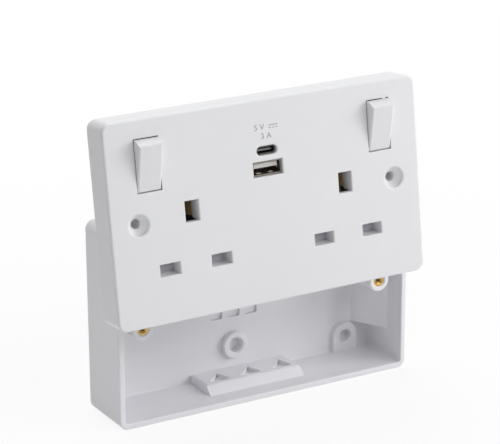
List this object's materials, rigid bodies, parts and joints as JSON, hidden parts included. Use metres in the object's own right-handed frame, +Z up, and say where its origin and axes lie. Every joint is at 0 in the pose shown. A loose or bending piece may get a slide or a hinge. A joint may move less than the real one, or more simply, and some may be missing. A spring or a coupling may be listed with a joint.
{
  "type": "switched double socket",
  "caption": "Switched twin wall socket plate with rocker switches and charging ports, unscrewed and leaning on its open surface-mount back box.",
  "frame": {"origin": "middle of the surface box's back face, on the wall", "axes": "+Y into the wall, +X to the right of someone facing the socket, +Z up"},
  "size_m": [0.1633, 0.0657, 0.1462],
  "materials": {
    "plate_white": "satin moulded",
    "rocker_white": "satin moulded",
    "box_white": "satin moulded",
    "base_grey": "matt moulded",
    "shutter_grey": "matt moulded",
    "nylon": "matt moulded",
    "brass": "stamped or turned, bare",
    "copper_strip": "stamped, bare",
    "spring_steel": "drawn wire",
    "screw_steel": "zinc plated",
    "port_shell": "plated sheet",
    "tongue_white": "moulded",
    "tongue_dark": "moulded",
    "board_green": "lacquered laminate",
    "tape_yellow": "taped",
    "capacitor_sleeve": "shrunk sleeve"
  },
  "bodies": {
    "fixed": {"surface_box": "box_white", "left_insert": "brass", "right_insert": "brass", "faceplate": "plate_white", "left_shutter_spring": "spring_steel", "right_shutter_spring": "spring_steel", "rear_base": "base_grey", "live_bar": "brass", "left_live_strip": "brass", "right_live_strip": "brass", "neutral_bar": "brass", "earth_bar": "brass", "live_terminal": "brass", "neutral_terminal": "brass", "earth_terminal": "brass", "terminal_screws": "screw_steel", "base_screws": "screw_steel", "usb_board": "board_green", "usb_a_shell": "port_shell", "usb_a_tongue": "tongue_white", "usb_c_shell": "port_shell", "usb_c_tongue": "tongue_dark", "usb_transformer": "tape_yellow", "usb_capacitors": "capacitor_sleeve"},
    "left_switch": {"left_rocker": "rocker_white", "left_plunger": "nylon", "left_rocker_spring": "spring_steel"},
    "right_switch": {"right_rocker": "rocker_white", "right_plunger": "nylon", "right_rocker_spring": "spring_steel"},
    "left_seesaw": {"left_moving_contact": "copper_strip"},
    "right_seesaw": {"right_moving_contact": "copper_strip"},
    "left_shutter_slide": {"left_shutter": "shutter_grey"},
    "right_shutter_slide": {"right_shutter": "shutter_grey"}
  },
  "joints": [
    {"name": "left_rocker_hinge", "type": "hinge", "parent": "fixed", "child": "left_switch", "pos_m": [-0.07066, -0.05328, 0.08088], "axis": [0.9992, -0.0327, 0.0227], "range_deg": [-32, 0]},
    {"name": "left_seesaw_hinge", "type": "hinge", "parent": "fixed", "child": "left_seesaw", "pos_m": [-0.07017, -0.03926, 0.07941], "axis": [0.9992, -0.0327, 0.0227], "range_deg": [0, 10]},
    {"name": "left_shutter_travel", "type": "slide", "parent": "fixed", "child": "left_shutter_slide", "axis": [0.0192, -0.1045, -0.9943], "range_m": [0, 0.0062], "stiffness_N_per_m": 80, "springref_m": -0.005, "deforming": ["left_shutter_spring"]},
    {"name": "right_rocker_hinge", "type": "hinge", "parent": "fixed", "child": "right_switch", "pos_m": [0.03765, -0.05682, 0.08334], "axis": [0.9992, -0.0327, 0.0227], "range_deg": [-32, 0]},
    {"name": "right_seesaw_hinge", "type": "hinge", "parent": "fixed", "child": "right_seesaw", "pos_m": [0.03814, -0.04281, 0.08188], "axis": [0.9992, -0.0327, 0.0227], "range_deg": [0, 10]},
    {"name": "right_shutter_travel", "type": "slide", "parent": "fixed", "child": "right_shutter_slide", "axis": [0.0192, -0.1045, -0.9943], "range_m": [0, 0.0062], "stiffness_N_per_m": 80, "springref_m": -0.005, "deforming": ["right_shutter_spring"]}
  ],
  "couplings": [
    {"joint": "left_seesaw_hinge", "follows": "left_rocker_hinge", "ratio": -0.3125},
    {"joint": "right_seesaw_hinge", "follows": "right_rocker_hinge", "ratio": -0.3125}
  ]
}
